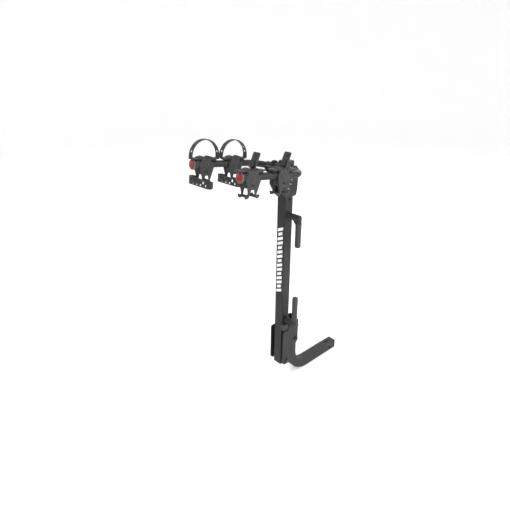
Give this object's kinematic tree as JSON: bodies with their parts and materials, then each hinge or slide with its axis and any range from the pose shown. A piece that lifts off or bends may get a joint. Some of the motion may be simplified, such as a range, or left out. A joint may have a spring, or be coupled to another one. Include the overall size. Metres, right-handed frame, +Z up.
{
  "type": "hitch mounted bike rack",
  "caption": "Folding hitch mounted bike rack: bent square shank, tilting mast with grab handle and release lever, folding arms with strap cradles and anti-sway cradles.",
  "frame": {"origin": "middle of the hitch pin hole, on the shank's centre line", "axes": "+X along the hitch pin hole to the right seen from behind the vehicle, +Y towards the vehicle along the shank, +Z up"},
  "size_m": [0.3738, 0.8285, 1.2659],
  "materials": {
    "powder_coat": "satin black powder coat with a fine orange peel",
    "black_zinc": "black zinc plated steel",
    "plated_steel": "bright zinc plated steel",
    "spring_steel": "oiled spring steel",
    "grip_rubber": "soft matte grip rubber",
    "strap_rubber": "flexible moulded strap rubber",
    "pad_rubber": "soft pad rubber",
    "red_lens": "red prismatic reflector",
    "cap_plastic": "moulded plastic",
    "bush_nylon": "natural nylon",
    "moulded_nylon": "glass filled nylon, fine grain"
  },
  "bodies": {
    "shank_base": {"hitch_shank": "powder_coat", "bracket_plate_left": "powder_coat", "bracket_plate_right": "powder_coat", "bracket_web": "powder_coat", "bracket_spacers": "plated_steel", "bracket_bolts": "black_zinc", "bracket_nuts": "black_zinc", "striker_pin": "black_zinc", "tilt_pivot_bolt": "black_zinc", "tilt_pivot_nut": "black_zinc", "tilt_pivot_spacers": "plated_steel"},
    "mast": {"mast_tube": "powder_coat", "mast_foot_plug": "moulded_nylon", "mast_cap": "moulded_nylon", "tilt_pivot_bushes": "bush_nylon", "latch_housing": "moulded_nylon", "upper_handle": "powder_coat", "upper_handle_grip": "grip_rubber", "handle_bolt": "black_zinc", "hub_plate_left": "powder_coat", "hub_plate_right": "powder_coat", "hub_bolts": "black_zinc", "hub_nuts": "black_zinc", "release_screws": "black_zinc", "lever_spring": "spring_steel"},
    "tilt_lever_body": {"tilt_lever": "powder_coat", "tilt_lever_grip": "grip_rubber", "lock_pawl": "black_zinc", "tilt_lever_nut": "black_zinc"},
    "release_bail_body": {"arm_release_bail": "powder_coat"},
    "arms": {"cross_tube": "powder_coat", "left_arm": "powder_coat", "right_arm": "powder_coat", "left_arm_cap": "cap_plastic", "right_arm_cap": "cap_plastic", "left_reflector": "red_lens", "right_reflector": "red_lens"},
    "left_cradle_1": {"left_cradle_1_body": "moulded_nylon", "left_cradle_1_pad": "pad_rubber", "left_cradle_1_strap": "strap_rubber", "left_cradle_1_sway_band": "strap_rubber", "left_cradle_1_hardware": "black_zinc"},
    "left_cradle_2": {"left_cradle_2_body": "moulded_nylon", "left_cradle_2_pad": "pad_rubber", "left_cradle_2_strap": "strap_rubber", "left_cradle_2_sway_band": "strap_rubber", "left_cradle_2_hardware": "black_zinc"},
    "right_cradle_1": {"right_cradle_1_body": "moulded_nylon", "right_cradle_1_pad": "pad_rubber", "right_cradle_1_strap": "strap_rubber", "right_cradle_1_buckle": "moulded_nylon", "right_cradle_1_hardware": "black_zinc"},
    "right_cradle_2": {"right_cradle_2_body": "moulded_nylon", "right_cradle_2_pad": "pad_rubber", "right_cradle_2_strap": "strap_rubber", "right_cradle_2_buckle": "moulded_nylon", "right_cradle_2_hardware": "black_zinc"}
  },
  "joints": [
    {"name": "mast_tilt", "type": "hinge", "parent": "shank_base", "child": "mast", "pos_m": [0, -0.384, 0.118], "axis": [1, 0, 0], "range_deg": [0, 50]},
    {"name": "tilt_lever", "type": "hinge", "parent": "mast", "child": "tilt_lever_body", "pos_m": [0, -0.384, 0.357], "axis": [1, 0, 0], "range_deg": [0, 25], "stiffness_Nm_per_rad": 2, "springref_deg": -17.19},
    {"name": "arm_release", "type": "hinge", "parent": "mast", "child": "release_bail_body", "pos_m": [0, -0.425, 1.062], "axis": [1, 0, 0], "range_deg": [0, 20], "stiffness_Nm_per_rad": 1, "springref_deg": -22.92},
    {"name": "arms_fold", "type": "hinge", "parent": "mast", "child": "arms", "pos_m": [0, -0.43, 1.112], "axis": [1, 0, 0], "range_deg": [0, 85]},
    {"name": "left_cradle_1_swivel", "type": "hinge", "parent": "arms", "child": "left_cradle_1", "pos_m": [-0.145, -0.70726, 1.1431], "axis": [0, -0.9938, 0.1115], "range_deg": [-12, 12]},
    {"name": "left_cradle_2_swivel", "type": "hinge", "parent": "arms", "child": "left_cradle_2", "pos_m": [-0.145, -0.56018, 1.1266], "axis": [0, -0.9938, 0.1115], "range_deg": [-12, 12]},
    {"name": "right_cradle_1_swivel", "type": "hinge", "parent": "arms", "child": "right_cradle_1", "pos_m": [0.145, -0.71621, 1.1441], "axis": [0, -0.9938, 0.1115], "range_deg": [-12, 12]},
    {"name": "right_cradle_2_swivel", "type": "hinge", "parent": "arms", "child": "right_cradle_2", "pos_m": [0.145, -0.56018, 1.1266], "axis": [0, -0.9938, 0.1115], "range_deg": [-12, 12]}
  ]
}
